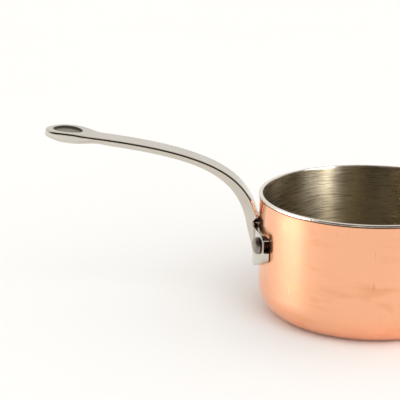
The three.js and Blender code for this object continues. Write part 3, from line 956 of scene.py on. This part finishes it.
def neck_notch(rivet, sizes):
    """Cutters for the round-ended notch across the neck and for the head's recess."""
    gap = bpy.context.scene.pan_rivets.gap
    half = rivet.collar + gap
    reach = sizes.neck_width / 2 + 1 * MM
    end_x = half + gap - rivet.floor
    end = round_bar(half, -reach, reach)
    bmesh.ops.rotate(end, verts=end.verts, matrix=Matrix.Rotation(math.pi / 2, 3, "X"))
    bmesh.ops.translate(end, verts=end.verts, vec=(end_x, 0, rivet.height))
    straight = block(
        (end_x, -reach, rivet.height - half),
        (-(wall_radius() - PAST_WALL), reach, rivet.height + half),
    )
    seat = round_bar(half - gap / 2, wall_radius(), rivet.floor)
    recess = round_bar(rivet.head + 0.5 * MM, rivet.seat, rivet.seat + 20 * MM)
    return [
        placed("notch_end_cutter", end, None),
        placed("notch_cutter", straight, None),
        placed("seat_cutter", laid_radially(seat, 0, rivet.height), None),
        placed("recess_cutter", laid_radially(recess, 0, rivet.height), None),
    ]


class EyeHole:
    """Where the eye's long hole is, and how big it is half-way down."""

    def __init__(self, sizes):
        self.half_length = sizes.eye_length / 2 - EYE_END_RIM * sizes.eye_rim
        self.half_across = sizes.eye_width / 2 - sizes.eye_rim
        self.growth = EYE_HOLE_TAPER / sizes.eye_depth
        self.centre = eye_tip(sizes) + Vector((
            sizes.eye_rim + self.half_length, 0, -sizes.eye_depth / 4,
        ))


def eye_cutters(sizes):
    """Cutters for the eye's long hole and for the shallow ramp that leads into it."""
    hole = EyeHole(sizes)
    tilt = Matrix.Rotation(sizes.eye_slope, 4, "Y")
    above, below = sizes.eye_depth, -2 * sizes.eye_depth
    wide = 1 + hole.growth * (above - sizes.eye_depth / 2)
    narrow = 1 + hole.growth * (below - sizes.eye_depth / 2)
    cone = turned([(0, below), (narrow, below), (wide, above), (0, above)], EYE_SEGMENTS)
    bmesh.ops.transform(
        cone, verts=cone.verts,
        matrix=Matrix.Translation(hole.centre) @ tilt
        @ Matrix.Diagonal((hole.half_length, hole.half_across, 1, 1)),
    )
    ramp = bmesh.new()
    bmesh.ops.create_uvsphere(ramp, u_segments=48, v_segments=24, radius=1.0)
    start = Vector((hole.half_length - 1 * MM, 0, RAMP_RISE * sizes.eye_depth))
    bmesh.ops.transform(
        ramp, verts=ramp.verts,
        matrix=Matrix.Translation(hole.centre + start) @ tilt
        @ Matrix.Diagonal(
            (sizes.ramp_length, RAMP_WIDTH * hole.half_across, sizes.ramp_depth, 1),
        ),
    )
    return [placed("eye_cutter", cone, None), placed("ramp_cutter", ramp, None)]


def cast_handle(finish):
    """The whole casting, with every edge softened as a casting's is."""
    scene = bpy.context.scene
    sizes = scene.pan_handle
    upper, *lower = [Rivet(name) for name in RIVET_NAMES]
    handle = combined(handle_bar(sizes), [foot_plate(sizes)], "UNION")
    space = round_bar(wall_radius() + scene.pan_rivets.gap, 0, 2 * LINING_HIGH.z, CUT_SEGMENTS)
    cutters = [placed("wall_cutter", space, None)]
    for rivet in lower:
        cutters += collar_pocket(rivet, sizes)
    cutters += neck_notch(upper, sizes)
    cutters += [rivet.hole() for rivet in (upper, *lower)]
    cutters += eye_cutters(sizes)
    combined(handle, cutters, "DIFFERENCE")
    skin = handle.modifiers.new("skin", "REMESH")
    skin.mode = "VOXEL"
    skin.voxel_size = sizes.grain
    soft = handle.modifiers.new("soft", "SMOOTH")
    soft.factor = 0.5
    soft.iterations = 6
    settled(handle)
    for polygon in handle.data.polygons:
        polygon.use_smooth = True
    handle.data.materials.clear()
    handle.data.materials.append(finish)
    return handle


# ---------------------------------------------------------------- rivets and collars


def dome(radius, base, height):
    """The profile of a domed head, from its edge to its crown."""
    across, up = DOME_POWERS
    angles = [math.pi / 2 * i / DOME_STEPS for i in range(DOME_STEPS)]
    points = [(radius * math.cos(a) ** across, base + height * math.sin(a) ** up) for a in angles]
    return [*points, (0, base + height)]


def rivet_piece(rivet, finish):
    """A rivet with a domed head at each end of its shank."""
    inner_wall = wall_radius() - bpy.context.scene.pan_vessel.wall
    drop = inner_wall - math.sqrt(inner_wall ** 2 - rivet.head ** 2)
    gap = rivet.sizes.gap
    inner_seat = inner_wall - drop - gap
    outer_seat = rivet.seat + gap
    profile = [
        *reversed(dome(rivet.head, inner_seat, -rivet.sizes.inner_height)),
        (rivet.shank, inner_seat),
        (rivet.shank, outer_seat),
        *dome(rivet.head, outer_seat, rivet.head_height),
    ]
    bm = laid_radially(turned(profile, RIVET_SEGMENTS), rivet.angle, rivet.height)
    return placed(f"Rivet_{rivet.name}", bm, finish)


def collar_piece(rivet, finish):
    """The collar that keeps the foot off the wall."""
    gap = rivet.sizes.gap
    bore = rivet.shank + rivet.sizes.clearance
    near = wall_radius() + gap
    far = rivet.floor - gap
    edge = 0.25 * MM
    profile = [
        (bore, near),
        (rivet.collar - edge, near),
        (rivet.collar, near + edge),
        (rivet.collar, far - edge),
        (rivet.collar - edge, far),
        (bore, far),
    ]
    ring = turned(profile, RIVET_SEGMENTS, closed=True)
    bm = laid_radially(ring, rivet.angle, rivet.height)
    return placed(f"Collar_{rivet.name}", bm, finish)


# ---------------------------------------------------------------- stage

STRIP_LIT = "LitByStrips"


class Strip(NamedTuple):
    """A soft light that stands round the pan and that only the vessel mirrors."""

    name: str
    azimuth: float
    distance: float
    height: float
    size: tuple
    power: float
    bounces: int


STRIPS = (
    Strip("KeyStrip", math.radians(-44), 1.3, 0.5, (0.13, 0.6), 16.0, 8),
    Strip("WideStrip", math.radians(-26), 1.3, 0.5, (0.42, 0.6), 8.5, 8),
    Strip("FrontStrip", math.radians(-107), 1.5, 0.75, (0.25, 0.5), 0.8, 0),
    Strip("SideStrip", math.radians(181), 1.2, 0.4, (0.7, 0.8), 48.0, 0),
)
STRIP_AIM = (0, 0, 0.05)
STRIP_TONE = (1.0, 0.99, 0.97)

FILL_TOWARD = (0.3, -0.85, 0.6)
FILL_SPREAD = math.radians(60)
FILL_POWER = 1.4

SKY = (0.9, 0.885, 0.86, 1.0)
DARK_SIDE = (0.045, 0.03, 0.016, 1.0)
DARK_LEAN = 0.3     # how far the dark side leans over the pan
DARK_EDGE = 0.1     # how far its edge stands off towards the camera
DARK_FADE = 2.4     # how quickly it passes into white


def floor_finish(tone):
    """A pale matt floor with the faintest mottle."""
    finish = Finish("pale_floor")
    mottle = finish.noise(finish.place, 3.0, detail=2.0)
    dim = tuple(channel * 0.985 for channel in tone)
    base = finish.mixed(mottle, opaque(tone), opaque(dim))
    shader = finish.node(
        "ShaderNodeBsdfPrincipled", output="BSDF",
        inputs={"Base Color": base, "Roughness": 0.9, "Specular IOR Level": 0.1},
    )
    finish.end(shader)
    return finish.material


def studio_sky():
    """White all round, with the dark side of a studio behind the camera."""
    world = bpy.data.worlds.new("Studio")
    world.use_nodes = True
    tree = world.node_tree
    tree.nodes.clear()
    coords = tree.nodes.new("ShaderNodeTexCoord")
    parts = tree.nodes.new("ShaderNodeSeparateXYZ")
    tree.links.new(coords.outputs["Generated"], parts.inputs[0])
    y, z = Flow(tree, parts.outputs[1]), Flow(tree, parts.outputs[2])
    white = (y - z * DARK_LEAN + DARK_EDGE).math("MULTIPLY", DARK_FADE, clamp=True)
    path = tree.nodes.new("ShaderNodeLightPath")
    mirrored = Flow(tree, path.outputs["Is Glossy Ray"])
    dark = (1.0 - white) * mirrored
    tone = tree.nodes.new("ShaderNodeMix")
    tone.data_type = "RGBA"
    plug(tree, tone.inputs[0], dark)
    plug(tree, tone.inputs[6], SKY)
    plug(tree, tone.inputs[7], DARK_SIDE)
    background = tree.nodes.new("ShaderNodeBackground")
    tree.links.new(tone.outputs[2], background.inputs["Color"])
    output = tree.nodes.new("ShaderNodeOutputWorld")
    tree.links.new(background.outputs[0], output.inputs["Surface"])
    bpy.context.scene.world = world


def strip_light(strip):
    """Makes a strip light that points at the pan."""
    light = bpy.data.lights.new(strip.name, "AREA")
    light.shape = "RECTANGLE"
    light.size, light.size_y = strip.size
    light.energy = strip.power
    light.color = STRIP_TONE
    light.cycles.max_bounces = strip.bounces
    lamp = bpy.data.objects.new(strip.name, light)
    lamp.location = (
        strip.distance * math.cos(strip.azimuth),
        strip.distance * math.sin(strip.azimuth),
        strip.height,
    )
    lamp.rotation_euler = (Vector(STRIP_AIM) - lamp.location).to_track_quat("-Z", "Y").to_euler()
    lamp.visible_diffuse = False
    lamp.light_linking.receiver_collection = bpy.data.collections[STRIP_LIT]
    bpy.context.scene.collection.objects.link(lamp)


def fill_light():
    """A broad, far-away light with soft edges that no metal mirrors."""
    light = bpy.data.lights.new("FillLight", "SUN")
    light.angle = FILL_SPREAD
    light.energy = FILL_POWER
    lamp = bpy.data.objects.new("FillLight", light)
    lamp.rotation_euler = Vector(FILL_TOWARD).to_track_quat("Z", "Y").to_euler()
    lamp.visible_glossy = False
    bpy.context.scene.collection.objects.link(lamp)


def studio_camera(studio):
    """The camera, as far away and as long as the view needs."""
    data = bpy.data.cameras.new("Camera")
    data.sensor_width = 36.0
    data.lens = studio.lens
    data.clip_start = 0.01
    camera = bpy.data.objects.new("Camera", data)
    camera.location = (
        studio.camera_distance * math.cos(studio.camera_azimuth),
        studio.camera_distance * math.sin(studio.camera_azimuth),
        studio.camera_height,
    )
    camera.rotation_euler = (
        math.pi / 2 - studio.camera_pitch, 0, studio.camera_heading,
    )
    bpy.context.scene.collection.objects.link(camera)
    bpy.context.scene.camera = camera


# ---------------------------------------------------------------- operators


class SAUCEPAN_OT_stage(bpy.types.Operator):
    """Sets up the camera, the floor and the lights"""

    bl_idname = "saucepan.stage"
    bl_label = "Stage"

    def execute(self, context):
        studio = context.scene.pan_studio
        studio_camera(studio)
        bm = bmesh.new()
        bmesh.ops.create_grid(bm, x_segments=8, y_segments=8, size=4.0)
        floor = placed("Floor", bm, floor_finish(studio.floor))
        studio_sky()
        bpy.data.collections.new(STRIP_LIT)
        for strip in STRIPS:
            strip_light(strip)
        fill_light()
        context.scene.view_settings.view_transform = "Standard"
        return {"FINISHED"}


class SAUCEPAN_OT_vessel(bpy.types.Operator):
    """Makes the copper body and its steel lining"""

    bl_idname = "saucepan.vessel"
    bl_label = "Vessel"

    def execute(self, context):
        colours = context.scene.pan_colours
        for piece, node, slot in (
            (copper_body(copper_finish(colours)), "copper_body", "copper"),
            (steel_lining(lining_finish(colours)), "steel_lining", "lining"),
        ):
            holes = [Rivet(name).hole() for name in RIVET_NAMES]
            combined(piece, holes, "DIFFERENCE")
            adopted(piece, node)
            bpy.data.collections[STRIP_LIT].objects.link(piece)
        return {"FINISHED"}


class SAUCEPAN_OT_handle(bpy.types.Operator):
    """Makes the cast handle"""

    bl_idname = "saucepan.handle"
    bl_label = "Handle"

    def execute(self, context):
        handle = cast_handle(casting_finish(context.scene.pan_colours))
        adopted(handle, "cast_handle")
        return {"FINISHED"}


class SAUCEPAN_OT_rivets(bpy.types.Operator):
    """Makes the three rivets"""

    bl_idname = "saucepan.rivets"
    bl_label = "Rivets"

    def execute(self, context):
        finish = satin_finish("rivet_satin", context.scene.pan_colours.rivet, 0.3, 260.0)
        for name in RIVET_NAMES:
            adopted(rivet_piece(Rivet(name), finish), f"rivet_{name}")
        return {"FINISHED"}


class SAUCEPAN_OT_collars(bpy.types.Operator):
    """Makes the collar on each rivet"""

    bl_idname = "saucepan.collars"
    bl_label = "Collars"

    def execute(self, context):
        finish = satin_finish("collar_satin", context.scene.pan_colours.collar, 0.35, 300.0)
        for name in RIVET_NAMES:
            adopted(collar_piece(Rivet(name), finish), f"collar_{name}")
        return {"FINISHED"}


STEPS = (
    SAUCEPAN_OT_stage,
    SAUCEPAN_OT_vessel,
    SAUCEPAN_OT_handle,
    SAUCEPAN_OT_rivets,
    SAUCEPAN_OT_collars,
)


class SAUCEPAN_PT_panel(bpy.types.Panel):
    """Lists the steps that make the saucepan"""

    bl_idname = "SAUCEPAN_PT_panel"
    bl_label = "Saucepan"
    bl_space_type = "VIEW_3D"
    bl_region_type = "UI"
    bl_category = "Saucepan"

    def draw(self, context):
        for step in STEPS:
            self.layout.operator(step.bl_idname)


CLASSES = (*GROUPS.values(), *STEPS, SAUCEPAN_PT_panel)


def register():
    for item in CLASSES:
        bpy.utils.register_class(item)
    for key, group in GROUPS.items():
        setattr(bpy.types.Scene, key, PointerProperty(type=group))


def unregister():
    for key in GROUPS:
        delattr(bpy.types.Scene, key)
    for item in reversed(CLASSES):
        bpy.utils.unregister_class(item)


def main():
    register()
    for step in STEPS:
        family, action = step.bl_idname.split(".")
        getattr(getattr(bpy.ops, family), action)()


if __name__ == "__main__":
    main()
